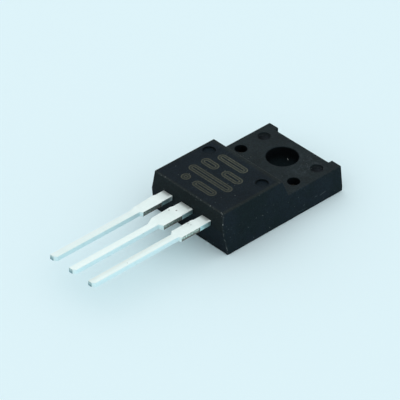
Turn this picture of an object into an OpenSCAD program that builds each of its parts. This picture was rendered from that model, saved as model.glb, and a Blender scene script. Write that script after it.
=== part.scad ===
/* [Housing] */
// Width across the widest line of the housing, just above the foot
body_w = 9.94; // [9.6:0.02:10.2]
// Thickness of the raised block that holds the chip
body_t = 4.5; // [4.3:0.05:4.8]
// Thickness of the mounting tab
tab_t = 2.7; // [2.5:0.05:2.9]
// Distance from the screw hole axis to the lead side face, at its fold
hole_to_front = 12; // [11.8:0.05:12.4]
// Distance from the screw hole axis to the tab end, at the back face
hole_to_end = 3.0; // [2.9:0.05:3.4]
// Mould draft of the two long sides, in degrees
side_draft = 6.2; // [3:0.1:7]
// Height of the near vertical land round the foot
foot_h = 0.5; // [0.3:0.05:0.8]
// Inward lean of that land at the back face
foot_in = 0.04; // [0.01:0.01:0.1]
// Lean of the lead side face above its fold, in degrees
front_lean_up = 6.1; // [2:0.1:9]
// Lean of the lead side face below its fold, in degrees
front_lean_down = 9.9; // [2:0.1:12]
// Lean of the tab end face, in degrees
end_lean = 1.2; // [0.4:0.1:4]
// Distance from the screw hole axis to the upper edge of the step
step_top = 4.44; // [4.2:0.02:4.8]
// Distance from the screw hole axis to the lower edge of the step
step_foot = 3.78; // [3.4:0.02:4]
// Height of the fold line of the lead side face
fold_z = 2.6; // [2.5:0.02:2.7]
// Radius along the upper edges of the housing
edge_r = 0.12; // [0.05:0.01:0.25]
// Radius along the upper edge of the step
step_r = 0.12; // [0.1:0.02:0.4]

/* [Tab end] */
// Depth of the wide notch in the tab end
notch_depth = 0.5; // [0.3:0.05:0.8]
// Width of that notch
notch_w = 7.06; // [6.4:0.02:7.4]

/* [Screw hole and mould marks] */
// Diameter of the screw hole
hole_d = 3.1; // [3:0.05:3.4]
// Diameter of the six round mould marks
pin_d = 1.22; // [1:0.02:1.22]
// Distance of each mark from the middle plane
pin_x = 3.48; // [3.4:0.02:3.48]
// Distance of the two deep marks from the screw hole axis, toward the leads
deep_pin_y = 1.96; // [1.8:0.01:2.1]
// Distance of the two shallow tab marks from the screw hole axis, toward the end
end_pin_y = 1.02; // [1:0.01:1.2]
// Depth of the two shallow tab marks
end_pin_depth = 0.35; // [0.2:0.05:0.5]
// Distance of the two block marks from the screw hole axis, toward the leads
block_pin_y = 6; // [5.7:0.05:6.2]
// Depth of the two block marks
block_pin_depth = 0.2; // [0.05:0.01:0.25]

/* [Leads] */
// Spacing of the three leads
pitch = 2.54; // [2.5:0.01:2.6]
// Thickness of the lead sheet
lead_t = 0.49; // [0.41:0.02:0.55]
// Height of the lead underside where it leaves the housing
lead_z = 2.6; // [2.4:0.02:2.7]
// Lead length from the housing face to the tip
lead_len = 13.7; // [12:0.05:15]
// Width of the slim part of each lead
slim_w = 0.72; // [0.66:0.02:0.86]
// Width of the outer lead shoulders
shoulder_w = 1.18; // [1.1:0.02:1.3]
// Width of the middle lead shoulder
mid_shoulder_w = 1.54; // [1.4:0.02:1.6]
// Length of the shoulders from the housing face
shoulder_len = 3.55; // [3:0.05:3.9]
// Distance from the housing face to the sheared tie bar ends
tie_start = 1.3; // [1:0.05:1.6]
// Run over which the sheared ends stand out on the left edge
tie_ramp = 0.35; // [0.1:0.05:0.5]
// How far the sheared ends stand out on the left edge
tie_left = 0.11; // [0.04:0.01:0.16]
// How far the sheared ends stand out on the right edge
tie_right = 0.06; // [0.04:0.01:0.16]
// Length of the bevel from an outer shoulder to the slim part
bevel_len = 0.15; // [0.05:0.01:0.4]
// Length of the bevel from the middle shoulder to the slim part
mid_bevel_len = 0.17; // [0.05:0.01:0.5]
// Bevel of the right corner at the lead tips
tip_bevel = 0.28; // [0.05:0.01:0.3]
// Downward slope of the leads, in degrees
lead_slope = 0.1; // [0:0.1:1.5]
// Distance behind the housing face at which the slope begins
slope_start = 0.5; // [0.3:0.05:0.7]

/* [Bond posts] */
// Width of the bond post of each outer lead
post_w = 2.5; // [2.2:0.05:2.8]
// Distance from the middle plane to the near edge of a bond post
post_x = 1.4; // [1.3:0.05:1.6]
// Distance from the housing face to the outer edge of a bond post
post_start = 0.75; // [0.7:0.05:0.9]
// Length of a bond post along the lead
post_len = 1.3; // [1.1:0.05:1.5]
// Distance from the middle plane to the wire foot on a bond post
bond_x = 2.1; // [1.8:0.05:2.3]
// Diameter of the resin lock hole in a bond post
lock_d = 0.6; // [0.4:0.05:0.7]

/* [Heat spreader] */
// Width of the heat spreader
spreader_w = 8.2; // [8.1:0.05:8.4]
// Thickness of the heat spreader
spreader_t = 1.3; // [1.1:0.05:1.5]
// Resin thickness under the heat spreader
skin = 0.6; // [0.45:0.05:0.7]
// Distance from the lead side face of the housing to the lead side edge of the spreader
spreader_inset = 2.45; // [2.35:0.05:2.75]
// Distance from the screw hole axis to the ends of the spreader arms
spreader_end = 0.4; // [0:0.05:0.5]
// Radius of the clearance round the screw hole
slot_r = 2.5; // [2.4:0.05:2.6]
// Corner bevel of the heat spreader
spreader_bevel = 0.5; // [0.2:0.05:0.7]
// Length of the rising neck between spreader and middle lead
neck_run = 1.1; // [0.9:0.05:1.3]

/* [Chip and wires] */
// Chip width
die_w = 2.3; // [1.8:0.05:2.6]
// Chip length
die_l = 2.0; // [1.6:0.05:2.4]
// Chip thickness
die_t = 0.3; // [0.2:0.02:0.4]
// Thickness of the solder layer under the chip
solder_t = 0.05; // [0.03:0.01:0.1]
// Overlap of the solder layer round the chip
solder_rim = 0.1; // [0.05:0.01:0.2]
// Distance from the lead side edge of the spreader to the chip centre
die_inset = 2.4; // [2.3:0.05:2.7]
// Diameter of the bond wires
wire_d = 0.2; // [0.15:0.01:0.25]
// Diameter of the flat bond feet
foot_d = 0.4; // [0.32:0.02:0.5]
// Height of the flat bond feet
bond_foot_h = 0.1; // [0.06:0.01:0.14]
// Bend radius of the bond wires
wire_bend = 0.35; // [0.25:0.05:0.4]
// Height of the loop over the lead posts
post_loop = 0.65; // [0.55:0.05:0.8]
// Height of the ground wire loop over the chip
ground_loop = 0.65; // [0.55:0.05:0.8]

/* [Hidden] */
$fn = 48;
arc_steps = 5;
over = 1;
lead_top = lead_z + lead_t;
spreader_top = skin + spreader_t;
spreader_front = hole_to_front - spreader_inset;
die_y = spreader_front - die_inset;
die_z = spreader_top + solder_t;
die_top = die_z + die_t;
deep_pin_depth = tab_t - spreader_top;
loop_z = lead_top + post_loop;
front_foot_y = -hole_to_front + fold_z * tan(front_lean_down);
front_top_y = -hole_to_front + (body_t - fold_z) * tan(front_lean_up);
slope_y = -hole_to_front + slope_start;
post_y = -hole_to_front + post_start + post_len / 2;
post_mid_x = post_x + post_w / 2;
tip_y = -hole_to_front - lead_len;
droop = (slope_y - tip_y) * tan(lead_slope);

// Half width of the housing at a height above its foot land
function half_w(z) = body_w / 2 - (z - foot_h) * tan(side_draft);
// Place of the tab end face at a height
function end_y(z) = hole_to_end - z * tan(end_lean);
// Points of a round of radius r at corner b, on the way from a to c
function round_at(a, b, c, r) =
    let (u = (a - b) / norm(a - b),
         v = (c - b) / norm(c - b),
         half = acos(u * v) / 2,
         m = b + (u + v) / norm(u + v) * r / sin(half),
         p = b + u * r / tan(half),
         q = b + v * r / tan(half),
         ang_p = atan2(p[1] - m[1], p[0] - m[0]),
         ang_q = atan2(q[1] - m[1], q[0] - m[0]),
         turn = ang_q - ang_p,
         sweep = turn > 180 ? turn - 360 : turn < -180 ? turn + 360 : turn)
    [for (i = [0 : arc_steps])
        let (ang = ang_p + sweep * i / arc_steps) m + r * [cos(ang), sin(ang)]];

// Profile across the housing, with draft, foot land and rounded upper edges
module cross_profile(top) {
    foot = body_w / 2 - foot_in;
    right = round_at([body_w / 2, foot_h], [half_w(top), top], [0, top], edge_r);
    left = round_at([0, top], [-half_w(top), top], [-body_w / 2, foot_h], edge_r);
    polygon(concat([[foot, 0], [body_w / 2, foot_h]], right, left, [[-body_w / 2, foot_h], [-foot, 0]]));
}

// Sweeps a profile drawn across the housing from y0 to y1
module along_y(y0, y1) {
    translate([0, y1, 0]) rotate([90, 0, 0]) linear_extrude(y1 - y0) children();
}

// Sweeps a profile drawn along the housing over its full width
module along_x() {
    rotate([90, 0, 90]) linear_extrude(body_w + 2 * over, center = true) children();
}

// Raised block with folded lead side face and steep step
module block() {
    a = [front_foot_y, 0];
    b = [-hole_to_front, fold_z];
    c = [front_top_y, body_t];
    d = [-step_top, body_t];
    e = [-step_foot, tab_t];
    intersection() {
        along_x()
            polygon(concat([a, b], round_at(b, c, d, edge_r), round_at(c, d, e, step_r),
                           [e, [-step_foot, 0]]));
        along_y(-hole_to_front - over, 0) cross_profile(body_t);
    }
}

// Thin mounting tab
module tab() {
    a = [-step_top - over, tab_t];
    b = [end_y(tab_t), tab_t];
    c = [end_y(0), 0];
    intersection() {
        along_x() polygon(concat([[a[0], 0], a], round_at(a, b, c, edge_r), [c]));
        along_y(-step_top - 2 * over, hole_to_end + over) cross_profile(tab_t);
    }
}

// Pair of round marks sunk into a face
module mark_pair(y, z, depth) {
    for (side = [-1, 1]) {
        translate([side * pin_x, y, z - depth]) cylinder(h = depth + over, d = pin_d);
    }
}

// Housing before the parts inside it are taken out
module housing_shell() {
    difference() {
        union() {
            block();
            tab();
        }
        translate([0, 0, -over]) cylinder(h = tab_t + 2 * over, d = hole_d);
        translate([-notch_w / 2, hole_to_end - notch_depth, -over])
            cube([notch_w, notch_depth + over, tab_t + 2 * over]);
        mark_pair(-deep_pin_y, tab_t, deep_pin_depth);
        mark_pair(end_pin_y, tab_t, end_pin_depth);
        mark_pair(-block_pin_y, body_t, block_pin_depth);
    }
}

// Plan outline of a lead about its own centre line, from inner_y out to the tip
module lead_outline(shoulder, bevel, inner_y) {
    s = shoulder / 2;
    n = slim_w / 2;
    y1 = -hole_to_front - tie_start;
    y2 = -hole_to_front - shoulder_len;
    polygon([[-s, inner_y], [-s, y1 + tie_ramp], [-s - tie_left, y1], [-s - tie_left, y2], [-n, y2 - bevel],
             [-n, tip_y], [n - tip_bevel, tip_y], [n, tip_y + tip_bevel],
             [n, y2 - bevel], [s + tie_right, y2], [s + tie_right, y1], [s, y1], [s, inner_y]]);
}

// Lead sheet seen from the side: level inside the housing, sloping down outside, then the given inner points
module lead_band(inner) {
    rotate([90, 0, 90]) linear_extrude(2 * body_w, center = true)
        polygon(concat([[slope_y, lead_top], [tip_y, lead_top - droop], [tip_y, lead_z - droop],
                        [slope_y, lead_z]], inner));
}

// Outer lead with its bond post; side is -1 or 1
module outer_lead(side) {
    intersection() {
        linear_extrude(body_t) difference() {
            union() {
                translate([side * pitch, 0]) lead_outline(shoulder_w, bevel_len, post_y);
                translate([side * post_mid_x - post_w / 2, post_y - post_len / 2]) square([post_w, post_len]);
            }
            translate([side * (post_x + post_w - lock_d), post_y]) circle(d = lock_d);
        }
        lead_band([[post_y + post_len, lead_z], [post_y + post_len, lead_top]]);
    }
}

// Middle lead with the neck that drops to the heat spreader
module middle_lead() {
    n0 = -spreader_front - neck_run / 2;
    n1 = -spreader_front + neck_run / 2;
    intersection() {
        linear_extrude(body_t) lead_outline(mid_shoulder_w, mid_bevel_len, n1);
        lead_band([[n0, lead_z], [-spreader_front, spreader_top], [-spreader_front, skin], [n1, skin],
                   [n1, spreader_top], [n0, lead_top]]);
    }
}

// Thick copper spreader with clearance round the screw hole
module spreader() {
    w = spreader_w / 2;
    k = spreader_bevel;
    translate([0, 0, skin]) difference() {
        linear_extrude(spreader_t)
            polygon([[-w + k, -spreader_front], [w - k, -spreader_front], [w, -spreader_front + k],
                     [w, spreader_end - k], [w - k, spreader_end], [-w + k, spreader_end],
                     [-w, spreader_end - k], [-w, -spreader_front + k]]);
        translate([0, 0, -over]) cylinder(h = spreader_t + 2 * over, r = slot_r);
    }
}

// Wire that rises from foot a at height za, runs level at height top and drops to foot b at height zb
module bond_wire(a, za, b, zb, top) {
    run = norm(b - a);
    translate([a[0], a[1], 0]) rotate([0, 0, atan2(b[1] - a[1], b[0] - a[0])]) {
        translate([0, 0, za]) cylinder(h = bond_foot_h, d = foot_d);
        translate([0, 0, za]) cylinder(h = top - wire_bend - za, d = wire_d);
        translate([wire_bend, 0, top - wire_bend]) rotate([90, 0, 0]) rotate([0, 0, 90])
            rotate_extrude(angle = 90) translate([wire_bend, 0]) circle(d = wire_d);
        translate([wire_bend, 0, top]) rotate([0, 90, 0]) cylinder(h = run - 2 * wire_bend, d = wire_d);
        translate([run - wire_bend, 0, top - wire_bend]) rotate([90, 0, 0])
            rotate_extrude(angle = 90) translate([wire_bend, 0]) circle(d = wire_d);
        translate([run, 0, zb]) cylinder(h = top - wire_bend - zb, d = wire_d);
        translate([run, 0, zb]) cylinder(h = bond_foot_h, d = foot_d);
    }
}

// Wire from the chip to an outer lead; side is -1 or 1
module post_wire(side) {
    bond_wire([side * die_w / 4, -die_y - die_l / 4], die_top, [side * bond_x, post_y], lead_top, loop_z);
}

module input_lead() {
    color([0.80, 0.81, 0.80]) outer_lead(-1);
}

module output_lead() {
    color([0.80, 0.81, 0.80]) outer_lead(1);
}

module ground_lead() {
    color([0.80, 0.81, 0.80]) union() {
        middle_lead();
        spreader();
    }
}

module die_attach() {
    color([0.62, 0.63, 0.64])
        translate([-die_w / 2 - solder_rim, -die_y - die_l / 2 - solder_rim, spreader_top])
            cube([die_w + 2 * solder_rim, die_l + 2 * solder_rim, solder_t]);
}

module regulator_die() {
    color([0.30, 0.32, 0.36])
        translate([-die_w / 2, -die_y - die_l / 2, die_z]) cube([die_w, die_l, die_t]);
}

module input_wire() {
    color([0.85, 0.80, 0.62]) post_wire(-1);
}

module output_wire() {
    color([0.85, 0.80, 0.62]) post_wire(1);
}

module ground_wire() {
    color([0.85, 0.80, 0.62])
        bond_wire([die_w / 4, -die_y + die_l / 4], die_top, [die_w / 2 + 4 * wire_bend, -die_y + die_l / 2],
                  spreader_top, die_top + ground_loop);
}

module moulded_body() {
    color([0.10, 0.11, 0.12]) difference() {
        housing_shell();
        input_lead();
        ground_lead();
        output_lead();
        die_attach();
        regulator_die();
        input_wire();
        ground_wire();
        output_wire();
    }
}

moulded_body();
input_lead();
ground_lead();
output_lead();
die_attach();
regulator_die();
input_wire();
ground_wire();
output_wire();
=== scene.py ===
import math

import bmesh
import bpy
from mathutils import Matrix, Vector, noise


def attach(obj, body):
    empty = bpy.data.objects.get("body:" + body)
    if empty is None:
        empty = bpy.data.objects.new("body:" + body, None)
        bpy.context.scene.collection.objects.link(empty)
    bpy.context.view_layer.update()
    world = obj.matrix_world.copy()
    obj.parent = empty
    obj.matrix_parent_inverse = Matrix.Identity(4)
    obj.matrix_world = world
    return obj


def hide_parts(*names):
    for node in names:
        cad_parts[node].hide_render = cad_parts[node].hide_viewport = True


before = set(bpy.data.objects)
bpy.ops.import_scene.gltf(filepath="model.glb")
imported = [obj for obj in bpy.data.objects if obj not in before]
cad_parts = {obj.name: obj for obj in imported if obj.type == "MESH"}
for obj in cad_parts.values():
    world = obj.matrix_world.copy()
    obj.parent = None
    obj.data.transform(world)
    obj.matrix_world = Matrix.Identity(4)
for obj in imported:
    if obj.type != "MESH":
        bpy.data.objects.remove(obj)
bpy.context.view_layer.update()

MM = 0.001

# Housing sizes in millimetres and degrees, with the screw hole axis at the origin
BODY_W, BODY_T, TAB_T = 9.94, 4.5, 2.7
FRONT, END = 12.0, 3.0
STEP_TOP, STEP_FOOT, FOLD_Z = 4.44, 3.78, 2.6
SIDE_DRAFT, FOOT_H, FOOT_IN = 6.2, 0.5, 0.04
LEAN_UP, LEAN_DOWN, LEAN_END = 6.1, 9.9, 1.2
NOTCH_W, NOTCH_D = 7.06, 0.5

# Screw hole and three pairs of round marks, whose mouths round out by a little less than a quarter turn
HOLE_R, HOLE_LIP = 1.55, 0.07
PIN_R, PIN_X, PIN_ROOT = 0.61, 3.48, 0.03
DEEP_Y, END_PIN_Y, BLOCK_PIN_Y = -1.96, 1.02, -6.0
SPREADER_TOP, DEEP_BITE, SHALLOW_PIT, FAINT_PIT = 1.9, 0.06, 0.35, 0.2
HOLE_STEPS, PIN_STEPS, OVERCUT = 96, 64, 0.6
LIP_TURN = 0.93 * math.pi / 2

# Rounding widths of the housing's edges, by their corners: those across it, then those of each side
CROSS_EDGES = (("F2", 0.05), ("F3", 0.11), ("D", 0.11), ("E", 0.10), ("M2", 0.08), ("M0", 0.05),
               ("F0", 0.05))
SIDE_EDGES = (("F0", "F1", 0.10), ("F1", "F2", 0.11), ("F2", "F3", 0.13), ("F3", "D", 0.12),
              ("D", "E", 0.09), ("E", "T2", 0.11), ("T2", "T1", 0.10), ("T1", "T0", 0.09),
              ("T2", "N2", 0.08), ("N2", "M2", 0.07), ("N2", "N0", 0.10), ("M2", "M0", 0.14),
              ("F0", "T0", 0.05), ("T0", "N0", 0.05), ("N0", "M0", 0.05))
BEVEL_WIDTH = 0.3

# Lead sizes: leads sink by SLOPE degrees from SLOPE_Y on, and tie bars were cut off from TIE_Y0 to TIE_Y1
PITCH, LEAD_TOP, LEAD_T, SLOPE = 2.54, 3.09, 0.49, 0.1
TIE_Y0, TIE_Y1, TIP_Y, SLOPE_Y, INNER_Y = -13.3, -15.55, -25.7, -11.5, -11.65
LEAD_EDGE, TIP_TRIM, STRIP = 0.05, 0.07, 0.1
SHEAR_LINES = (0.3, 0.62)

# A lead's slim sides lie farther from its middle than SLIM_X, and its tie bar ends farther than TIE_X
SLIM_X, TIE_X = 0.3, 0.5

# Where the leads' looks change: root painted dim as shade by the housing, plated side painted lighter away
# from the housing, matt root with its tone raised as painted light, and painted light and shade of the slim
# part
ROOT_Y0, ROOT_Y1 = -12.03, -12.49
PLATE_Y0, PLATE_Y1 = -12.50, -13.15
MATT_Y0, MATT_Y1 = -13.05, -14.05
SLIM_Y0, SLIM_Y1 = -15.6, -16.4

# Each lead: half its shoulder, how much longer it narrows on the input side, how far that side is cut back,
# then the painted shade of its sheared side from top to bottom and how that shade lifts from the housing on,
# the tone of its plated side as painted shade, and the painted light and shade of the slim part's two edges
LEADS = (
    dict(node="input_lead", name="lead_in", centre=-PITCH, half=0.59, taper=0.60, trim=0.14,
         shear=(0.14, 0.16), fade=(0.85, 1.85), plate_shade=0.18, slim_shades=((0.95, 0.95, 0.96), (0.94, 0.96, 0.96))),
    dict(node="ground_lead", name="lead_mid", centre=0.0, half=0.77, taper=0.75, trim=0.07,
         shear=(0.32, 0.23), fade=(0.65, 1.50), plate_shade=0.38, slim_shades=((1.01, 1.01, 1.01), (1.03, 1.03, 1.03))),
    dict(node="output_lead", name="lead_out", centre=PITCH, half=0.59, taper=0.20, trim=0.0,
         shear=(0.70, 0.28), fade=(1.00, 1.20), plate_shade=0.76, slim_shades=((0.90, 0.90, 0.89), (1.00, 1.01, 1.01))))

# Dark pits on the leads: x, y and radius
TIN_PITS = ((-0.59, -13.62, 0.07), (-0.10, -13.17, 0.09), (2.05, -13.75, 0.05), (2.35, -13.67, 0.05))
TIN_PIT_Z = LEAD_TOP - 0.01

# Printed field of plain bars and a dot on the block top: centre x, centre y, half length, half height
BARS = ((-0.45, -5.9, 1.75, 0.42), (-1.85, -7.4, 0.95, 0.45), (1.05, -7.4, 1.15, 0.45),
        (-0.2, -8.9, 2.65, 0.42), (-1.9, -10.35, 0.42, 0.42), (0.55, -10.35, 1.35, 0.42))
STROKE_IN, LINE_OFF = 0.14, 0.135
PRINT_Y0, PRINT_Y1 = -10.6, -5.6

# Scratches on the sides, then two painted glints in one shallow mark: start, end and width
SCRATCHES_AND_GLINTS = (
    ((4.93, 0.0, 0.88), (4.92, 0.85, 1.00), 0.05),
    ((4.97, -2.75, 0.42), (4.98, -1.55, 0.34), 0.035),
    ((4.94, -2.1, 0.72), (4.94, -1.9, 0.90), 0.04),
    ((4.92, -0.65, 1.00), (4.92, -0.25, 1.02), 0.04),
    ((-4.90, -3.1, 1.20), (-4.90, -2.6, 1.10), 0.045),
    ((-4.76, -8.0, 2.40), (-4.74, -7.3, 2.62), 0.035),
    ((2.84, 0.88, 2.39), (2.94, 0.96, 2.39), 0.08),
    ((3.40, 1.60, 2.38), (3.50, 1.64, 2.38), 0.06))
BORE_GLINT = ((-0.62, 1.42, 1.26), (-0.72, 1.38, 1.44), 0.05)

# Tones of the moulding compound, with painted shade, painted light and painted highlights among them
SIDE_GREEN, SIDE_BLUE = (0.0062, 0.0136, 0.0166), (0.0070, 0.0134, 0.0188)
FRONT_TONE = (0.0088, 0.0136, 0.0150)
# Painted shade on the front foot under the leads, darker toward the left
UNDER_SHADE_LEFT, UNDER_SHADE_RIGHT = (0.0034, 0.0078, 0.0100), (0.0050, 0.0098, 0.0140)
# The last tone on the next line is a painted highlight band along the block top's edges
TAB_TONE, BLOCK_TONE, RIM_HIGHLIGHT_TONE = (0.0126, 0.0200, 0.0228), (0.0060, 0.0118, 0.0166), (0.0135, 0.0196, 0.0200)
HAZE_TONE, DUST_TONE = (0.042, 0.056, 0.066), (0.040, 0.050, 0.052)
SPECK_TONE, LINT_TONE, FLECK_TONE = (0.10, 0.12, 0.12), (0.095, 0.115, 0.115), (0.10, 0.12, 0.13)
# Shallow marks: floors painted dim as shade, walls painted pale as light
SHADED_PIT_FLOOR_DIM, SHADED_PIT_FLOOR_PALE = (0.0074, 0.0104, 0.0124), (0.0088, 0.0110, 0.0140)
LIT_PIT_WALL_FOOT, LIT_PIT_WALL_TOP = (0.0300, 0.0400, 0.0450), (0.0170, 0.0240, 0.0275)
# Painted shade on the faint marks' walls and in the deep marks
FAINT_WALL_SHADE, DEEP_SHADE = (0.0020, 0.0032, 0.0040), (0.0020, 0.0019, 0.0018)
# The bore painted dark at its top as shade and pale at its foot as light, and a painted glint
BORE_SHADE_TOP, BORE_LIT_FOOT, GLINT_TONE = (0.0022, 0.0028, 0.0034), (0.0200, 0.0330, 0.0380), (0.50, 0.55, 0.54)
# Scratches and two painted glints, a painted highlight on the upper edges, and paler edge wear with painted
# highlight
SCRATCH_AND_GLINT_TONE, EDGE_HIGHLIGHT_TONE, WEAR_AND_HIGHLIGHT_TONE = (0.065, 0.088, 0.094), (0.0160, 0.0215, 0.0215), (0.070, 0.082, 0.084)
# Painted glints along the edges and on the front corners, then ink
EDGE_GLINT_TONE, CORNER_GLINT_TONE, INK_TONE = (0.24, 0.28, 0.28), (0.28, 0.33, 0.33), (0.060, 0.0665, 0.0505)

# Where the compound's looks change: the painted shade under the leads, the painted glints near the front
# corners, and the dusty tab
UNDER_X0, UNDER_X1 = -2.0, 4.5
CORNER_X0, CORNER_X1 = 4.25, 4.40
DUSTY_SPOT, DUSTY_EDGE, DUSTY_CORE = (2.3, 0.5, 2.7), 2.6, 0.4

# Tones of the leads: tin, its matt root, the sheared copper and the cut tips
TIN_DIM, TIN_BRIGHT = (0.745, 0.852, 0.841), (0.822, 0.920, 0.909)
# Tints of tops and sides; the blue side tint is a painted reflection of the pale floor
TOP_TINT, SIDE_REFLECTION_TINT = (0.97, 1.0, 1.0), (0.96, 1.04, 1.09)
# Matt root tones, raised as painted light
MATT_DIM, MATT_BRIGHT = (0.84, 0.97, 0.96), (0.88, 1.0, 0.99)
TIN_PIT_TONE, ROLL_TONE = (0.10, 0.11, 0.10), (0.02, 0.03, 0.033)
CUT_TINT, CUT_LIP_TONE, CUT_START_TONE = (0.75, 1.0, 0.91), (0.028, 0.032, 0.030), (0.020, 0.022, 0.020)
BROWN_DIM, BROWN_BRIGHT = (0.060, 0.045, 0.031), (0.19, 0.140, 0.098)
TIP_TOP, TIP_FOOT = (0.48, 0.67, 0.68), (0.20, 0.37, 0.42)
INSIDE_DIM, INSIDE_BRIGHT = (0.020, 0.016, 0.013), (0.045, 0.036, 0.028)

# Stage and light in metres and watts, and the camera in millimetres, solved from the photo's ruled paper
FLOOR_TONE, BACKDROP_TONE = (0.72, 0.89, 0.94), (0.74, 0.89, 0.93, 1)
FLOOR_HALF, FLOOR_GAP = 3.0, 0.00002
KEY_PLACE, KEY_AIM, KEY_SIZE, KEY_POWER = (-0.25, 0.15, 0.45), (0, -0.006, 0), 0.35, 0.05
CAM_AZ, CAM_EL, CAM_ROLL = math.radians(46.89), math.radians(36.49), math.radians(0.259)
CAM_AIM, CAM_DIST, CAM_LENS, CAM_SENSOR = (-2.867, -7.689, 0), 273.3, 267.77, 36


def tan(deg):
    return math.tan(math.radians(deg))


def half_w(z):
    return BODY_W / 2 - (z - FOOT_H) * tan(SIDE_DRAFT)


def front_y(z):
    lean = LEAN_UP if z > FOLD_Z else LEAN_DOWN
    return -FRONT + abs(z - FOLD_Z) * tan(lean)


def end_y(z):
    return END - z * tan(LEAN_END)


def lead_top(y):
    return LEAD_TOP - (SLOPE_Y - y) * tan(SLOPE)


# Mesh helpers

def new_object(name, bm):
    """A scene object made of a finished mesh."""
    me = bpy.data.meshes.new(name)
    bm.to_mesh(me)
    bm.free()
    o = bpy.data.objects.new(name, me)
    bpy.context.scene.collection.objects.link(o)
    return o


def apply_modifiers(o):
    dg = bpy.context.evaluated_depsgraph_get()
    me = bpy.data.meshes.new_from_object(o.evaluated_get(dg), depsgraph=dg)
    o.modifiers.clear()
    o.data = me


def add_bevel(o, width, segments):
    """Rounds the edges that carry a bevel weight."""
    b = o.modifiers.new("Bevel", "BEVEL")
    b.limit_method = "WEIGHT"
    b.width = width
    b.segments = segments
    b.use_clamp_overlap = True
    return b


def finish_piece(o, name, materials, nodes, smooth_angle):
    """Turns an object in millimetres into a piece in metres that stands in for CAD nodes."""
    o.data.transform(Matrix.Scale(MM, 4))
    o.name = name
    o.data.name = name
    kinds = [p.material_index for p in o.data.polygons]
    o.data.materials.clear()
    for m in materials:
        o.data.materials.append(m)
    for p, kind in zip(o.data.polygons, kinds):
        p.material_index = kind
        p.use_smooth = True
    o.data.set_sharp_from_angle(angle=math.radians(smooth_angle))
    w = o.modifiers.new("Weighted", "WEIGHTED_NORMAL")
    w.keep_sharp = True
    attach(o, "root")
    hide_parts(*nodes)


def lathe(profile, centre, steps):
    """Closed turned solid about a vertical axis, from (radius, height) points going upward."""
    bm = bmesh.new()
    rings = []
    for r, z in profile:
        rings.append([bm.verts.new((centre[0] + r * math.cos(2 * math.pi * i / steps),
                                    centre[1] + r * math.sin(2 * math.pi * i / steps), z))
                      for i in range(steps)])
    for a, b in zip(rings, rings[1:]):
        for i in range(steps):
            j = (i + 1) % steps
            bm.faces.new((a[i], a[j], b[j], b[i]))
    bm.faces.new(list(reversed(rings[0])))
    bm.faces.new(rings[-1])
    return bm


def lip_arc(r, lip):
    """Rounded mouth of a round recess as (radius, depth) points, from the wall out to the face."""
    turns = [LIP_TURN * i / 5 for i in range(6)]
    return [(r + lip - lip * math.cos(a), lip - lip * math.sin(a)) for a in turns]


def pit_profile(r, top, bottom, lip, root):
    """Cutter profile of a round recess with a rounded lip at the top and a small radius at the floor."""
    points = [(r - root, bottom)]
    for i in range(1, 5):
        a = math.pi / 2 * i / 4
        points.append((r - root + root * math.sin(a), bottom + root - root * math.cos(a)))
    points += [(x, top - depth) for x, depth in lip_arc(r, lip)]
    return points + [(points[-1][0], top + OVERCUT)]


def bore_profile(r, low, high, lip):
    """Cutter profile of a through hole with rounded lips at both ends."""
    arc = lip_arc(r, lip)
    down = [(x, low + depth) for x, depth in reversed(arc)]
    up = [(x, high - depth) for x, depth in arc]
    return [(down[0][0], low - OVERCUT)] + down + up + [(up[-1][0], high + OVERCUT)]


# Housing

def housing_corners():
    """Corners of one side: F front, D and E step, T tab end, N and M notch, numbered from the foot up."""
    return (
        ("F0", BODY_W / 2 - FOOT_IN, front_y(0), 0),
        ("F1", BODY_W / 2, front_y(FOOT_H), FOOT_H),
        ("F2", half_w(FOLD_Z), -FRONT, FOLD_Z),
        ("F3", half_w(BODY_T), front_y(BODY_T), BODY_T),
        ("D", half_w(BODY_T), -STEP_TOP, BODY_T),
        ("E", half_w(TAB_T), -STEP_FOOT, TAB_T),
        ("T2", half_w(TAB_T), end_y(TAB_T), TAB_T),
        ("T1", BODY_W / 2, end_y(FOOT_H), FOOT_H),
        ("T0", BODY_W / 2 - FOOT_IN, end_y(0), 0),
        ("N2", NOTCH_W / 2, end_y(TAB_T), TAB_T),
        ("N0", NOTCH_W / 2, end_y(0), 0),
        ("M2", NOTCH_W / 2, END - NOTCH_D, TAB_T),
        ("M0", NOTCH_W / 2, END - NOTCH_D, 0))


def weigh_edges(bm, corners):
    """Gives each edge its share of the full bevel width, by the names of its two corners."""
    width = {frozenset((a + "r", a + "l")): w for a, w in CROSS_EDGES}
    for s in "rl":
        width.update({frozenset((a + s, b + s)): w for a, b, w in SIDE_EDGES})
    weight = bm.edges.layers.float.new("bevel_weight_edge")
    name_of = {v: k for k, v in corners.items()}
    for e in bm.edges:
        e[weight] = width.get(frozenset(name_of[v] for v in e.verts), 0) / BEVEL_WIDTH


def housing_mesh():
    bm = bmesh.new()
    corners = {}
    for sign, side in ((1, "r"), (-1, "l")):
        for key, x, y, z in housing_corners():
            corners[key + side] = bm.verts.new((sign * x, y, z))

    def face(*keys):
        bm.faces.new([corners[k] for k in keys])

    for s in "rl":
        for keys in (("F0", "F1", "T1", "T0"), ("F1", "F2", "F3", "D", "E", "T2", "T1"),
                     ("T0", "T1", "T2", "N2", "N0"), ("N0", "N2", "M2", "M0")):
            face(*[k + s for k in keys])
    face("F0l", "F0r", "F1r", "F2r", "F2l", "F1l")
    face("F2l", "F2r", "F3r", "F3l")
    face("F3l", "F3r", "Dr", "Dl")
    face("Dl", "Dr", "Er", "El")
    face("El", "Er", "T2r", "N2r", "M2r", "M2l", "N2l", "T2l")
    face("M0l", "M2l", "M2r", "M0r")
    face("F0r", "F0l", "T0l", "N0l", "M0l", "M0r", "N0r", "T0r")
    bmesh.ops.recalc_face_normals(bm, faces=bm.faces)
    weigh_edges(bm, corners)
    return bm


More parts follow.
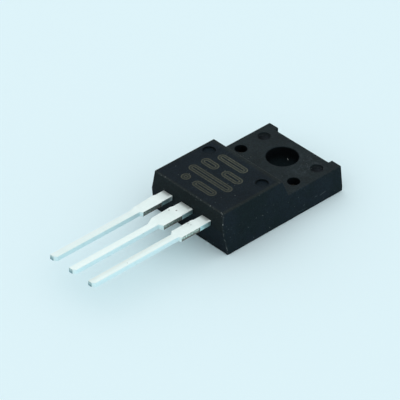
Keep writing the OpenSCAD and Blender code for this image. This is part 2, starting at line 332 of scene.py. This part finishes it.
def housing_cutters():
    """Cutters for the screw hole and for the deep, shallow and faint marks on both sides."""
    cutters = [new_object("bore", lathe(bore_profile(HOLE_R, 0, TAB_T, HOLE_LIP), (0, 0), HOLE_STEPS))]
    for side in (-1, 1):
        for name, y, top, floor, lip in (("deep", DEEP_Y, TAB_T, SPREADER_TOP - DEEP_BITE, 0.02),
                                         ("shallow", END_PIN_Y, TAB_T, TAB_T - SHALLOW_PIT, 0.03),
                                         ("faint", BLOCK_PIN_Y, BODY_T, BODY_T - FAINT_PIT, 0.045)):
            profile = pit_profile(PIN_R, top, floor, lip, PIN_ROOT)
            cutters.append(new_object(name, lathe(profile, (side * PIN_X, y), PIN_STEPS)))
    return cutters


def make_housing(plain, wear_and_highlights):
    """The housing in one piece, with the material of wear and painted highlights on its rounded edges."""
    body = new_object("housing", housing_mesh())
    for m in (plain, wear_and_highlights):
        body.data.materials.append(m)
    add_bevel(body, BEVEL_WIDTH, 4).material = 1
    apply_modifiers(body)
    cutters = housing_cutters()
    for c in cutters:
        m = body.modifiers.new("Cut", "BOOLEAN")
        m.operation = "DIFFERENCE"
        m.solver = "EXACT"
        m.object = c
    apply_modifiers(body)
    for c in cutters:
        bpy.data.objects.remove(c)
    finish_piece(body, "housing", [plain, wear_and_highlights], ["moulded_body"], 40)


# Leads

def in_tie(y):
    return TIE_Y1 - 0.01 < y < TIE_Y0 + 0.01


def reshape_lead(bm, lead):
    """Lengthens the narrowing on the input side of the shoulder and makes the tip a little narrower."""
    for v in bm.verts:
        out = v.co.x - lead["centre"]
        if out < -SLIM_X and TIE_Y1 - 0.2 < v.co.y < TIE_Y1 - 0.1:
            v.co.y -= lead["taper"]
            v.co.z -= lead["taper"] * tan(SLOPE)
        if v.co.y < TIP_Y + 0.02 and out > 0:
            v.co.x -= TIP_TRIM


def slice_tie_bars(bm):
    """Cuts the sheared tie bar ends into strips and their faces into three bands, for roughen_tie_bars."""
    y = TIE_Y0
    while y > TIE_Y1:
        geom = bm.verts[:] + bm.edges[:] + bm.faces[:]
        bmesh.ops.bisect_plane(bm, geom=geom, dist=0.0005, plane_co=(0, y, 0), plane_no=(0, 1, 0))
        y -= STRIP
    for part in SHEAR_LINES:
        ends = [f for f in bm.faces if all(in_tie(v.co.y) for v in f.verts) and abs(f.normal.x) > 0.8]
        geom = list({v for f in ends for v in f.verts}) + list({e for f in ends for e in f.edges}) + ends
        height = lead_top(TIE_Y0) - part * LEAD_T
        bmesh.ops.bisect_plane(bm, geom=geom, dist=0.0005, plane_co=(0, TIE_Y0, height),
                               plane_no=(0, tan(SLOPE), -1))


def roughen_tie_bars(bm, lead):
    """Moves the sheared ends in unevenly, more toward their foot, and cuts the input side back."""
    for v in bm.verts:
        out = v.co.x - lead["centre"]
        if TIE_Y1 + 0.02 < v.co.y < TIE_Y0 - 0.03 and abs(out) > TIE_X:
            depth = min(max((lead_top(v.co.y) - v.co.z) / LEAD_T, 0), 1)
            place = Vector((v.co.y * 5.3, v.co.z * 4.1, lead["centre"] * 3.7 + math.copysign(9, out)))
            v.co.x -= math.copysign(0.012 + 0.03 * abs(noise.noise(place)) + 0.02 * depth, out)
        if TIE_Y1 - 0.02 < v.co.y < TIE_Y0 and out < -TIE_X:
            v.co.x += lead["trim"] * (TIE_Y0 - v.co.y) / (TIE_Y0 - TIE_Y1)


def round_lead_edges(bm, centre):
    """Bevel weights outside the housing: full on upper edges, half on others, little on sheared ends."""
    weight = bm.edges.layers.float.new("bevel_weight_edge")
    for e in bm.edges:
        if len(e.link_faces) != 2 or e.calc_face_angle(0) < math.radians(25):
            continue
        mid = (e.verts[0].co + e.verts[1].co) / 2
        if mid.y > INNER_Y:
            continue
        sheared = in_tie(mid.y) and abs(mid.x - centre) > TIE_X
        upper = max(f.normal.z for f in e.link_faces) > 0.7
        e[weight] = 0.12 if sheared else (1.0 if upper else 0.5)


def make_lead(lead, material):
    """Copy of a lead with rounded stamped edges and roughly sheared tie bar ends."""
    bm = bmesh.new()
    bm.from_mesh(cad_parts[lead["node"]].data)
    bm.transform(Matrix.Scale(1 / MM, 4))
    bmesh.ops.remove_doubles(bm, verts=bm.verts, dist=0.002)
    bmesh.ops.dissolve_limit(bm, angle_limit=math.radians(1), verts=bm.verts, edges=bm.edges)
    reshape_lead(bm, lead)
    slice_tie_bars(bm)
    roughen_tie_bars(bm, lead)
    round_lead_edges(bm, lead["centre"])
    o = new_object(lead["name"], bm)
    add_bevel(o, LEAD_EDGE, 3)
    apply_modifiers(o)
    finish_piece(o, lead["name"], [material], [lead["node"]], 35)


# Materials

class Tree:
    """A material, with short ways to add and link its shader nodes. pos is the place in millimetres."""

    def __init__(self, name):
        self.mat = bpy.data.materials.new(name)
        self.mat.use_nodes = True
        self.nt = self.mat.node_tree
        self.nt.nodes.clear()
        out = self.nt.nodes.new("ShaderNodeOutputMaterial")
        self.bsdf = self.nt.nodes.new("ShaderNodeBsdfPrincipled")
        self.nt.links.new(self.bsdf.outputs[0], out.inputs["Surface"])
        coords = self.nt.nodes.new("ShaderNodeTexCoord")
        self.pos = self.vec("SCALE", coords.outputs["Object"], scale=1 / MM)

    def put(self, socket, value):
        """Links a socket to an output, or gives it a plain value. Colours are given without alpha."""
        if hasattr(value, "links"):
            self.nt.links.new(value, socket)
        elif value is not None:
            socket.default_value = (*value, 1) if socket.type == "RGBA" else value

    def vec(self, op, a, b=None, scale=None):
        n = self.nt.nodes.new("ShaderNodeVectorMath")
        n.operation = op
        self.put(n.inputs[0], a)
        self.put(n.inputs[1], b)
        if scale is not None:
            self.put(n.inputs["Scale"], scale)
        return n.outputs["Value"] if op in ("LENGTH", "DOT_PRODUCT", "DISTANCE") else n.outputs["Vector"]

    def math(self, op, a, b=None, clamp=False):
        n = self.nt.nodes.new("ShaderNodeMath")
        n.operation = op
        n.use_clamp = clamp
        self.put(n.inputs[0], a)
        self.put(n.inputs[1], b)
        return n.outputs[0]

    def chain(self, op, values):
        total = values[0]
        for v in values[1:]:
            total = self.math(op, total, v)
        return total

    def product(self, *values):
        return self.chain("MULTIPLY", values)

    def most(self, *values):
        return self.chain("MAXIMUM", values)

    def plus(self, a, b):
        return self.math("ADD", a, b)

    def minus(self, a, b):
        return self.math("SUBTRACT", a, b)

    def size(self, a):
        return self.math("ABSOLUTE", a)

    def split(self, v):
        n = self.nt.nodes.new("ShaderNodeSeparateXYZ")
        self.put(n.inputs[0], v)
        return n.outputs

    def ramp(self, v, lo, hi, a=0.0, b=1.0):
        """Smooth step from a to b while v goes from lo to hi."""
        n = self.nt.nodes.new("ShaderNodeMapRange")
        n.interpolation_type = "SMOOTHSTEP"
        for i, x in enumerate((v, lo, hi, a, b)):
            self.put(n.inputs[i], x)
        return n.outputs[0]

    def noise(self, v, scale, detail=2.0, rough=0.5, stretch=None, colour=False):
        if stretch:
            v = self.vec("MULTIPLY", v, stretch)
        n = self.nt.nodes.new("ShaderNodeTexNoise")
        self.put(n.inputs["Vector"], v)
        n.inputs["Scale"].default_value = scale
        n.inputs["Detail"].default_value = detail
        n.inputs["Roughness"].default_value = rough
        return n.outputs["Color" if colour else "Fac"]

    def dots(self, scale, radius, share, warp=0.0):
        """Sparse round specks: 1 inside a speck."""
        v = self.pos
        if warp:
            v = self.vec("ADD", v, self.vec("SCALE", self.noise(v, 6, colour=True), scale=warp))
        n = self.nt.nodes.new("ShaderNodeTexVoronoi")
        self.put(n.inputs["Vector"], v)
        n.inputs["Scale"].default_value = scale
        pick = self.split(n.outputs["Color"])[0]
        near = self.ramp(n.outputs["Distance"], radius * 0.5, radius, 1.0, 0.0)
        return self.product(near, self.ramp(pick, 1 - share, 1 - share + 0.02))

    def mix(self, fac, a, b):
        n = self.nt.nodes.new("ShaderNodeMix")
        n.data_type = "RGBA"
        self.put(n.inputs[0], fac)
        self.put(n.inputs[6], a)
        self.put(n.inputs[7], b)
        return n.outputs[2]

    def over(self, colour, tone, *masks):
        """The colour with a tone laid over it where every mask is 1."""
        return self.mix(self.product(*masks), colour, tone)

    def times(self, colour, value):
        n = self.nt.nodes.new("ShaderNodeMix")
        n.data_type = "RGBA"
        n.blend_type = "MULTIPLY"
        n.inputs[0].default_value = 1.0
        self.put(n.inputs[6], colour)
        self.put(n.inputs[7], value)
        return n.outputs[2]

    def bump(self, height, distance, strength, normal=None):
        """Bump with its height in millimetres."""
        n = self.nt.nodes.new("ShaderNodeBump")
        n.inputs["Distance"].default_value = distance * MM
        n.inputs["Strength"].default_value = strength
        self.put(n.inputs["Height"], height)
        if normal is not None:
            self.put(n.inputs["Normal"], normal)
        return n.outputs[0]

    def done(self, colour, roughness, metallic=0.0, normal=None, specular=None):
        self.put(self.bsdf.inputs["Base Color"], colour)
        self.put(self.bsdf.inputs["Roughness"], roughness)
        self.put(self.bsdf.inputs["Metallic"], metallic)
        self.put(self.bsdf.inputs["Specular IOR Level"], specular)
        if normal is not None:
            self.put(self.bsdf.inputs["Normal"], normal)
        return self.mat


class Coat(Tree):
    """Tree that also has its place and its normal by axis."""

    def __init__(self, name):
        super().__init__(name)
        self.x, self.y, self.z = self.split(self.pos)
        geometry = self.nt.nodes.new("ShaderNodeNewGeometry")
        self.nx, self.ny, self.nz = self.split(geometry.outputs["Normal"])


def near_axis(t, cx, cy, r):
    """1 inside a vertical round bore of radius r, and in its twin on the other side where cx isn't 0."""
    dx = t.minus(t.size(t.x) if cx else t.x, cx)
    dy = t.minus(t.y, cy)
    d = t.math("SQRT", t.plus(t.product(dx, dx), t.product(dy, dy)))
    return t.ramp(d, r - 0.01, r + 0.03, 1.0, 0.0)


def thin_streak(t, start, end, width):
    """Mask of a thin straight line between two points, thinner at its ends, for scratches and painted
    glints.
    """
    start, end = Vector(start), Vector(end)
    along = end - start
    rel = t.vec("SUBTRACT", t.pos, tuple(start))
    part = t.math("DIVIDE", t.vec("DOT_PRODUCT", rel, tuple(along)), along.length_squared, clamp=True)
    off = t.vec("LENGTH", t.vec("SUBTRACT", rel, t.vec("SCALE", tuple(along), scale=part)))
    thin = t.math("SQRT", t.product(part, t.minus(1.0, part), 4.0))
    return t.product(t.ramp(off, width * 0.4, width, 1.0, 0.0), thin)


def printed(t):
    """Mask of double line strokes along the bars on the block top."""
    strokes = []
    for cx, cy, hx, hy in BARS:
        r = min(hx, hy)
        dx = t.math("MAXIMUM", t.minus(t.size(t.minus(t.x, cx)), hx - r), 0.0)
        dy = t.minus(t.y, cy)
        d = t.size(t.minus(t.math("SQRT", t.plus(t.product(dx, dx), t.product(dy, dy))), r - STROKE_IN))
        line = t.ramp(t.size(t.minus(d, LINE_OFF)), 0.03, 0.075, 1.0, 0.0)
        fill = t.ramp(d, 0.10, 0.15, 0.36, 0.0)
        strokes.append(t.most(line, fill))
    return t.most(*strokes)


class Epoxy(Coat):
    """Black moulding compound, with masks of the housing's faces and its shared noises."""

    def __init__(self, name):
        super().__init__(name)
        self.across = self.size(self.x)
        top = self.ramp(self.nz, 0.75, 0.95)
        self.high = self.ramp(self.z, BODY_T - 0.35, BODY_T - 0.2)
        self.on_tab = self.product(top, self.minus(1.0, self.high))
        self.on_block = self.product(top, self.high)
        self.cloud = self.noise(self.pos, 0.35, 3.0, 0.6)
        self.fine = self.noise(self.pos, 6.5, 3.0, 0.7)
        self.grit = self.noise(self.pos, 16.0, 2.0, 0.6)
        self.hue = self.noise(self.pos, 3.2, 2.0, 0.5, colour=True)
        self.grain = self.ramp(self.fine, 0.3, 0.7, 0.74, 1.26)


def epoxy_faces(t):
    """Tone of each face: bluish block top, paler tab, brownish front, painted shade on the foot under the
    leads and painted highlight bands along the block top's edges.
    """
    forward = t.ramp(t.ny, -0.5, -0.9)
    # Painted shade on the front face below the fold, under the leads, darker toward the left
    under = t.product(forward, t.ramp(t.z, FOLD_Z - 0.15, FOLD_Z + 0.1, 1.0, 0.0))
    colour = t.mix(t.ramp(t.cloud, 0.35, 0.65), SIDE_GREEN, SIDE_BLUE)
    colour = t.over(colour, FRONT_TONE, forward)
    colour = t.over(colour, t.mix(t.ramp(t.x, UNDER_X0, UNDER_X1), UNDER_SHADE_LEFT, UNDER_SHADE_RIGHT), under)
    colour = t.over(colour, TAB_TONE, t.on_tab)
    colour = t.over(colour, BLOCK_TONE, t.on_block)
    # Painted highlight bands on the block top along its sides, step and front
    side_rim = t.ramp(t.across, half_w(BODY_T) - 0.42, half_w(BODY_T) - 0.14)
    step_rim = t.ramp(t.y, -STEP_TOP - 0.71, -STEP_TOP - 0.16)
    front_rim = t.ramp(t.y, -FRONT + 0.5, -FRONT + 0.25, 0.0, 0.6)
    return t.over(colour, RIM_HIGHLIGHT_TONE, t.most(side_rim, step_rim, front_rim), t.on_block, 0.8)


def epoxy_dust(t, colour):
    """Grain and mottling, a dusty patch on the tab, and specks all over."""
    tint = t.ramp(t.cloud, 0.25, 0.75, 0.86, 1.14)
    colour = t.times(colour, t.product(tint, t.grain))
    colour = t.over(colour, t.times(colour, t.vec("SCALE", t.hue, scale=2.0)), 0.10)
    dusty = t.product(t.on_tab, t.ramp(t.vec("DISTANCE", t.pos, DUSTY_SPOT), DUSTY_EDGE, DUSTY_CORE))
    on_side = t.ramp(t.size(t.nx), 0.80, 0.95)
    haze = t.ramp(t.noise(t.pos, 2.4, 4.0, 0.7), 0.45, 0.7)
    colour = t.over(colour, HAZE_TONE, haze, t.plus(dusty, 0.06), 0.55)
    colour = t.over(colour, DUST_TONE, t.dots(4.2, 0.24, 0.14), 0.42)
    colour = t.over(colour, SPECK_TONE, t.dots(1.7, 0.10, 0.45, 0.25), 0.75)
    colour = t.over(colour, LINT_TONE, t.dots(2.6, 0.13, 0.36, 0.3), on_side, 0.8)
    return t.over(colour, FLECK_TONE, t.dots(6.0, 0.32, 0.20), dusty, 0.6)


def epoxy_recesses(t, colour):
    """Painted shade and light in the recesses: shallow marks with floors dimmed as shade, lifted toward
    their far end, and walls lit pale; shaded walls in the faint marks; black shade in the deep marks; a bore
    shaded at its top and lit paler toward its foot, with a painted glint.
    """
    upright = t.ramp(t.nz, 0.75, 0.35)
    below = t.ramp(t.z, TAB_T - 0.10, TAB_T - 0.02, 1.0, 0.0)
    # Shallow marks: floors painted dim as shade and lifted toward their far end as painted light, walls
    # painted pale as light
    glow = t.ramp(t.y, END_PIN_Y - 0.2, END_PIN_Y + 0.5, 1.0, 2.2)
    floor = t.times(t.mix(t.hue, SHADED_PIT_FLOOR_DIM, SHADED_PIT_FLOOR_PALE), t.product(t.grain, glow))
    wall = t.mix(t.ramp(t.z, TAB_T - 0.30, TAB_T - 0.10), LIT_PIT_WALL_FOOT, LIT_PIT_WALL_TOP)
    colour = t.over(colour, t.mix(upright, floor, wall), near_axis(t, PIN_X, END_PIN_Y, PIN_R), below)
    # Painted shade on the faint marks' walls and in the deep marks
    colour = t.over(colour, FAINT_WALL_SHADE, near_axis(t, PIN_X, BLOCK_PIN_Y, PIN_R + 0.02), upright, 0.8)
    colour = t.over(colour, DEEP_SHADE, near_axis(t, PIN_X, DEEP_Y, PIN_R), below, 0.75)
    # The bore painted dark at its top as shade and pale toward its foot as light, with a painted glint
    bore = t.product(near_axis(t, 0.0, 0.0, HOLE_R), t.ramp(t.z, TAB_T - 0.08, TAB_T - 0.02, 1.0, 0.0))
    colour = t.over(colour, t.mix(t.ramp(t.z, SPREADER_TOP, FOOT_H), BORE_SHADE_TOP, BORE_LIT_FOOT), bore)
    return t.over(colour, GLINT_TONE, thin_streak(t, *BORE_GLINT), bore)


def epoxy_edge_wear_and_highlights(t, colour):
    """Painted highlights on the upper edges, paler wear strengthened as painted highlight at the front,
    painted glints brightest at the front but not on the fold, and painted glints on two corners.
    """
    off_fold = t.ramp(t.size(t.minus(t.z, FOLD_Z)), 0.04, 0.10, 0.15, 1.0)
    at_front = t.product(t.ramp(t.y, -FRONT + 0.75, -FRONT + 0.5), off_fold)
    # Painted highlight on the upper edges, weaker on the step
    colour = t.over(colour, EDGE_HIGHLIGHT_TONE, t.high, t.ramp(t.y, -STEP_TOP - 0.21, -STEP_TOP - 0.11, 0.6, 0.35))
    turned = [t.size(t.product(p, q)) for p, q in ((t.nx, t.ny), (t.ny, t.nz), (t.nx, t.nz))]
    crest = t.ramp(t.most(*turned), 0.26, 0.46)
    # Paler wear on the edges, strengthened at the front as painted highlight
    wear_and_highlight = t.ramp(t.noise(t.pos, 4.5, 3.0, 0.7), 0.44, 0.62, 0.15, 1.0)
    colour = t.over(colour, WEAR_AND_HIGHLIGHT_TONE, wear_and_highlight, crest, t.plus(t.product(at_front, 0.26), 0.14))
    # Painted glints along the edges, most at the front
    edge_glints = t.product(t.dots(5.6, 0.30, 0.42, 0.06), t.plus(at_front, 0.15))
    colour = t.over(colour, EDGE_GLINT_TONE, edge_glints, t.plus(t.product(crest, 0.7), 0.3), 0.8)
    # Painted glints on the two upright front corners
    upper = t.ramp(t.z, FOLD_Z - 0.2, FOLD_Z + 0.6, 0.28, 1.0)
    corner = t.product(t.ramp(t.across, CORNER_X0, CORNER_X1), at_front, upper)
    return t.over(colour, CORNER_GLINT_TONE, t.dots(4.0, 0.52, 0.52, 0.05), crest, corner, 0.85)


def epoxy_ink(t, colour):
    """The printed field on the block top, a little patchy and paler toward the tab."""
    patchy = t.ramp(t.noise(t.pos, 7.0, 2.0), 0.3, 0.6, 0.62, 1.0)
    grainy = t.ramp(t.noise(t.pos, 9.0, 2.0), 0.45, 0.65, 0.93, 1.24)
    tone = t.product(t.ramp(t.y, PRINT_Y0, PRINT_Y1, 0.90, 1.12), grainy)
    return t.over(colour, t.times(INK_TONE, tone), printed(t), t.on_block, patchy)


def epoxy(name, wear_and_highlights):
    """Black moulding compound: with wear and painted highlights for the rounded edges, or plain with the
    print for the faces.
    """
    t = Epoxy(name)
    colour = epoxy_dust(t, epoxy_faces(t))
    colour = epoxy_recesses(t, colour)
    # Scratches, and two painted glints in a shallow mark
    colour = t.over(colour, SCRATCH_AND_GLINT_TONE, t.most(*[thin_streak(t, *s) for s in SCRATCHES_AND_GLINTS]), 0.65)
    colour = epoxy_edge_wear_and_highlights(t, colour) if wear_and_highlights else epoxy_ink(t, colour)
    height = t.plus(t.product(t.fine, 0.6), t.product(t.grit, 0.4))
    return t.done(colour, t.ramp(t.grit, 0.3, 0.7, 0.62, 0.50), 0.0, t.bump(height, 0.018, 0.8), 0.04)


class Tin(Coat):
    """Satin tin over copper on one lead, with masks of its faces and its shared noises."""

    def __init__(self, name, centre):
        super().__init__(name)
        self.off = self.minus(self.x, centre)
        self.side = self.ramp(self.size(self.nx), 0.5, 0.75)
        drop = self.product(self.minus(SLOPE_Y, self.y), tan(SLOPE))
        self.depth = self.math("DIVIDE", self.minus(self.minus(LEAD_TOP, drop), self.z), LEAD_T)
        in_tie_bar = self.product(self.ramp(self.y, TIE_Y1 - 0.02, TIE_Y1 + 0.02),
                                  self.ramp(self.y, TIE_Y0 - 0.04, TIE_Y0 + 0.01, 1.0, 0.0))
        outward = self.math("GREATER_THAN", self.size(self.off), TIE_X - 0.05)
        self.shear = self.product(self.side, in_tie_bar, outward)
        self.matt = self.ramp(self.y, MATT_Y1, MATT_Y0)
        self.brush = self.noise(self.pos, 3.0, 4.0, 0.6, stretch=(9.0, 0.5, 9.0))
        self.speck = self.ramp(self.noise(self.pos, 7.0, 3.0, 0.7), 0.42, 0.64)


def tin_plating(t, slim_shades):
    """Tin with brushing along the lead, painted light and shade across the slim part by lead, and sides
    tinted blue as a painted reflection of the floor.
    """
    tin = t.mix(t.noise(t.pos, 1.2, 4.0, 0.6), TIN_DIM, TIN_BRIGHT)
    tin = t.times(tin, t.ramp(t.brush, 0.2, 0.8, 0.95, 1.03))
    # Painted light and shade across the slim part, set per lead
    tint = t.mix(t.ramp(t.off, -0.25, 0.20), *slim_shades)
    tin = t.over(tin, t.vec("MULTIPLY", tin, tint), t.ramp(t.y, SLIM_Y1, SLIM_Y0, 1.0, 0.0))
    # Sides tinted blue as a painted reflection of the floor
    return t.mix(t.side, t.times(tin, TOP_TINT), t.times(tin, SIDE_REFLECTION_TINT))


def plated_side(t, tin, plate_shade):
    """The plated side of the shoulder near the housing, in a dim tone that is painted shade by lead and
    lifts away from the housing, with a rolled line along it.
    """
    by_body = t.ramp(t.y, TIE_Y0 - 0.04, TIE_Y0 + 0.04)
    plated = t.product(t.ramp(t.size(t.nx), 0.80, 0.96), by_body)
    streak = t.noise(t.pos, 2.5, 3.0, 0.6, stretch=(1.0, 1.0, 5.0))
    # Painted shade by lead, lifting away from the housing
    tone = t.product(t.ramp(t.y, PLATE_Y0, PLATE_Y1, 0.62, 1.13), t.ramp(streak, 0.3, 0.7, 0.75, 1.2))
    tin = t.over(tin, t.times((0.60 * plate_shade, plate_shade, 1.05 * plate_shade), tone), plated)
    roll = t.product(t.ramp(t.depth, 0.26, 0.36), t.ramp(t.depth, 0.46, 0.58, 1.0, 0.0))
    return t.over(tin, ROLL_TONE, roll, plated, 0.22)


def matt_root(t, tin, half):
    """Matt root of the lead in a pale tone raised as painted light, painted dim as shade where it meets the
    moulding, least so along the edge at half.
    """
    # Pale matt tone, raised as painted light
    pale = t.mix(t.noise(t.pos, 1.6, 4.0, 0.6), MATT_DIM, MATT_BRIGHT)
    tin = t.over(tin, pale, t.matt, t.minus(1.0, t.side))
    # Painted shade where the root meets the moulding, least along the edge at half
    dim = t.ramp(t.off, half - 0.38, half - 0.08, 0.42, 1.0)
    dim = t.product(dim, t.ramp(t.side, 0.0, 1.0, 1.0, 0.5))
    return t.times(tin, t.ramp(t.y, ROOT_Y1, ROOT_Y0, 1.0, dim))


def tin_pits(t):
    """Mask of sparse tiny pits and of the larger ones near the roots."""
    pits = [t.dots(1.1, 0.07, 0.05, 0.1)]
    for x, y, r in TIN_PITS:
        rel = t.vec("MULTIPLY", t.vec("SUBTRACT", t.pos, (x, y, TIN_PIT_Z)), (1.0, 0.7, 1.0))
        pits.append(t.ramp(t.vec("LENGTH", rel), r * 0.5, r, 0.85, 0.0))
    return t.most(*pits)


def sheared_copper(t, shear, fade):
    """Sheared tie bar end: dark lip, mottled middle, brown lower edge and a dark nick where it starts; its
    tone, set by lead and lighter away from the housing, is painted shade.
    """
    patch = t.noise(t.pos, 3.6, 4.0, 0.75, stretch=(1.0, 1.3, 1.6))
    low = t.plus(t.depth, t.product(t.minus(patch, 0.5), 0.6))
    # Mottling, with painted shade that lifts away from the housing
    mottle_and_shade = t.product(t.ramp(t.speck, 0.0, 1.0, 0.62, 1.35), t.ramp(t.y, TIE_Y0 - 0.3, TIE_Y1 + 0.3, *fade))
    # Tone from top to bottom set by lead as painted shade
    cut = t.times(CUT_TINT, t.product(t.ramp(low, 0.25, 0.75, *shear), mottle_and_shade))
    cut = t.over(cut, t.mix(t.speck, BROWN_DIM, BROWN_BRIGHT), t.ramp(low, 0.66, 0.92, 0.0, 0.75))
    cut = t.over(cut, CUT_LIP_TONE, t.ramp(low, 0.10, 0.24, 0.35, 0.0))
    return t.over(cut, CUT_START_TONE, t.ramp(t.y, TIE_Y0 - 0.20, TIE_Y0 - 0.08, 0.0, 0.8))


def tinned(lead):
    """Satin tin over copper; the sheared tie bar ends and the tip show the copper."""
    t = Tin("tin_" + lead["name"], lead["centre"])
    tin = plated_side(t, tin_plating(t, lead["slim_shades"]), lead["plate_shade"])
    tin = matt_root(t, tin, lead["half"])
    tin = t.over(tin, TIN_PIT_TONE, tin_pits(t))
    colour = t.over(tin, sheared_copper(t, lead["shear"], lead["fade"]), t.shear)

    coarse = t.noise(t.pos, 6.0, 4.0, 0.7, stretch=(1.0, 1.6, 0.7))
    tip = t.product(t.ramp(t.ny, -0.6, -0.8), t.ramp(t.y, TIP_Y + 0.06, TIP_Y + 0.02))
    end = t.mix(t.ramp(t.depth, 0.15, 0.85), TIP_TOP, TIP_FOOT)
    colour = t.over(colour, t.times(end, t.ramp(coarse, 0.3, 0.7, 0.75, 1.15)), tip)
    inside = t.ramp(t.y, -FRONT + 0.05, -FRONT + 0.25)
    colour = t.over(colour, t.mix(coarse, INSIDE_DIM, INSIDE_BRIGHT), inside)

    raw = t.most(t.shear, tip, inside)
    rough = t.plus(t.product(raw, 0.25), t.ramp(t.brush, 0.2, 0.8, 0.32, 0.40))
    metal = t.ramp(t.most(raw, t.matt), 0.0, 1.0, 0.66, 0.08)
    normal = t.bump(t.noise(t.pos, 0.9, 2.0), 0.06, 0.35)
    normal = t.bump(t.brush, 0.006, 0.5, normal)
    normal = t.bump(t.product(t.speck, raw), 0.05, 0.9, normal)
    return t.done(colour, rough, metal, normal)


def inner(name, dark, light, rough, metallic, scale):
    """Plain inner material: two tones, grain bump and varied roughness."""
    t = Tree(name)
    n = t.noise(t.pos, scale, 4.0, 0.6)
    r = t.ramp(n, 0.2, 0.8, rough * 0.85, rough * 1.15)
    return t.done(t.mix(n, dark, light), r, metallic, t.bump(n, 0.008, 0.5))


def dress(node, material):
    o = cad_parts[node]
    o.data.materials.clear()
    o.data.materials.append(material)


# Stage, light and camera

def make_floor():
    bm = bmesh.new()
    bmesh.ops.create_grid(bm, x_segments=1, y_segments=1, size=FLOOR_HALF)
    o = new_object("floor", bm)
    o.location = (0, 0, -FLOOR_GAP)
    o.data.materials.append(Tree("floor").done(FLOOR_TONE, 0.9, specular=0.0))


def make_world():
    """Pale backdrop for the camera, and soft white light from all around."""
    w = bpy.data.worlds.new("studio")
    bpy.context.scene.world = w
    w.use_nodes = True
    nt = w.node_tree
    nt.nodes.clear()
    out = nt.nodes.new("ShaderNodeOutputWorld")
    seen = nt.nodes.new("ShaderNodeBackground")
    lit = nt.nodes.new("ShaderNodeBackground")
    mix = nt.nodes.new("ShaderNodeMixShader")
    path = nt.nodes.new("ShaderNodeLightPath")
    seen.inputs[0].default_value = BACKDROP_TONE
    lit.inputs[0].default_value = (1.0, 1.0, 1.0, 1)
    lit.inputs[1].default_value = 1.0
    nt.links.new(path.outputs["Is Camera Ray"], mix.inputs[0])
    nt.links.new(lit.outputs[0], mix.inputs[1])
    nt.links.new(seen.outputs[0], mix.inputs[2])
    nt.links.new(mix.outputs[0], out.inputs[0])


def make_lamp(name, place, aim, size, power):
    lamp = bpy.data.lights.new(name, "AREA")
    lamp.shape = "DISK"
    lamp.size = size
    lamp.energy = power
    o = bpy.data.objects.new(name, lamp)
    o.location = place
    o.rotation_mode = "QUATERNION"
    o.rotation_quaternion = (Vector(aim) - Vector(place)).to_track_quat("-Z", "Y")
    bpy.context.scene.collection.objects.link(o)


def make_camera():
    flat = math.cos(CAM_EL)
    back = Vector((math.sin(CAM_AZ) * flat, -math.cos(CAM_AZ) * flat, math.sin(CAM_EL)))
    level = Vector((math.cos(CAM_AZ), math.sin(CAM_AZ), 0))
    upright = back.cross(level)
    right = level * math.cos(CAM_ROLL) + upright * math.sin(CAM_ROLL)
    up = upright * math.cos(CAM_ROLL) - level * math.sin(CAM_ROLL)
    data = bpy.data.cameras.new("camera")
    data.sensor_width = CAM_SENSOR
    data.lens = CAM_LENS
    data.clip_start, data.clip_end = 0.01, 20
    o = bpy.data.objects.new("camera", data)
    m = Matrix((right, up, back)).transposed().to_4x4()
    m.translation = (Vector(CAM_AIM) + back * CAM_DIST) * MM
    o.matrix_world = m
    bpy.context.scene.collection.objects.link(o)
    bpy.context.scene.camera = o


make_housing(epoxy("epoxy", False), epoxy("epoxy_edge", True))
for lead in LEADS:
    make_lead(lead, tinned(lead))

dress("die_attach", inner("solder", (0.34, 0.35, 0.36), (0.62, 0.63, 0.64), 0.45, 1.0, 4.0))
dress("regulator_die", inner("silicon", (0.10, 0.12, 0.16), (0.24, 0.27, 0.32), 0.16, 0.6, 3.0))
wire = inner("bond_wire", (0.66, 0.60, 0.42), (0.88, 0.82, 0.64), 0.30, 1.0, 12.0)
for node in ("input_wire", "ground_wire", "output_wire"):
    dress(node, wire)

make_floor()
make_world()
make_lamp("key", KEY_PLACE, KEY_AIM, KEY_SIZE, KEY_POWER)
make_camera()
bpy.context.scene.view_settings.view_transform = "Standard"
